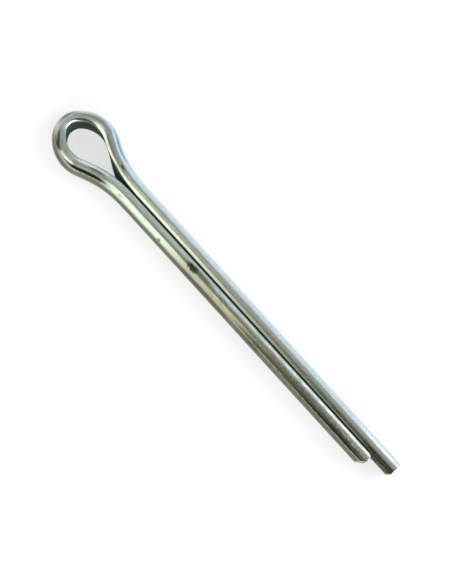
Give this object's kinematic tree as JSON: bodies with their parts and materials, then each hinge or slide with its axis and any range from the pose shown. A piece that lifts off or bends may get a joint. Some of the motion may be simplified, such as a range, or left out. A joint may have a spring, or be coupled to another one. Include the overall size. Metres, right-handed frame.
{
  "type": "cotter pin",
  "caption": "Split cotter pin bent from one half-round wire: teardrop eye and two flat-to-flat legs, one leg longer than the other.",
  "frame": {"origin": "on the shank's axis, where the straight round shank starts and the two legs begin to part towards the eye; the mouth of the hole comes 4.2 mm towards the eye from it", "axes": "+X along the shank from the eye to the tips, +Y towards the long leg, +Z square to the plane the wire is bent in; the pin lies flat on its side"},
  "size_m": [0.0914, 0.012, 0.0058],
  "materials": {
    "zinc_plated_steel": "bright zinc plating, lightly scuffed"
  },
  "bodies": {
    "root": {"cotter_pin": "zinc_plated_steel"}
  },
  "joints": []
}
